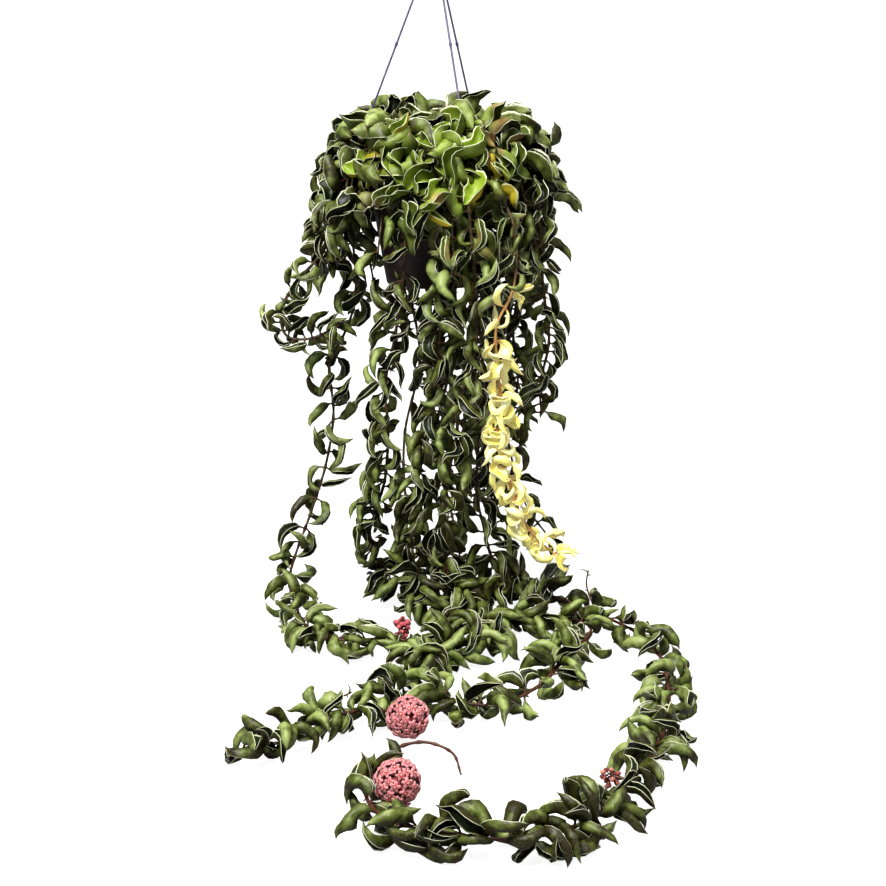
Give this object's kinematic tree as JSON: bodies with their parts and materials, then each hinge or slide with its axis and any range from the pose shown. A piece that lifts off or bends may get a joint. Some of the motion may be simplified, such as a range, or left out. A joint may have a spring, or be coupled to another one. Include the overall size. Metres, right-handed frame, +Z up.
{
  "type": "hindu rope plant",
  "caption": "Trailing houseplant with thick curled leaves on long ropes of stem, round flower heads, and a hanging pot on three strands with a hook.",
  "frame": {"origin": "the point inside the top of the hook's bend where the hook bears on what it hangs from", "axes": "+Z up; the pictured front faces -Y, with +X to its right; the pot's axis is the Z axis"},
  "size_m": [0.4467, 0.8192, 0.7603],
  "materials": {
    "leaf": "satin",
    "yellow_leaf": "satin",
    "bloom": "matte",
    "bud": "satin",
    "pot": "satin",
    "soil": "matte",
    "strand": "satin",
    "hook": "satin"
  },
  "bodies": {
    "root": {"bud_cluster": "bud", "hanger_hook": "hook", "hanger_strand_back": "strand", "hanger_strand_front": "strand", "hanger_strand_left": "strand", "hanging_pot": "pot", "heart_spray_1": "leaf", "heart_spray_2": "leaf", "heart_spray_3": "leaf", "heart_spray_4": "leaf", "heart_spray_5": "leaf", "potting_soil": "soil", "rim_spray_01": "leaf", "rim_spray_02": "leaf", "rim_spray_03": "leaf", "rim_spray_04": "leaf", "rim_spray_05": "leaf", "rim_spray_06": "leaf", "rim_spray_07": "leaf", "rim_spray_08": "leaf", "rim_spray_09": "leaf", "rim_spray_10": "leaf", "rim_spray_11": "leaf", "rim_spray_12": "leaf", "rim_spray_13": "leaf", "spent_cluster": "bud", "umbel_front": "bloom", "umbel_middle": "bloom", "vine_back_far_left": "leaf", "vine_back_left": "leaf", "vine_back_middle": "leaf", "vine_back_middle_right": "leaf", "vine_back_right": "leaf", "vine_floor_arc": "leaf", "vine_front": "leaf", "vine_front_left": "leaf", "vine_front_middle": "leaf", "vine_left_long": "leaf", "vine_left_loop": "leaf", "vine_left_short": "leaf", "vine_right": "leaf", "vine_right_inner": "leaf", "vine_yellow": "yellow_leaf"}
  },
  "joints": []
}
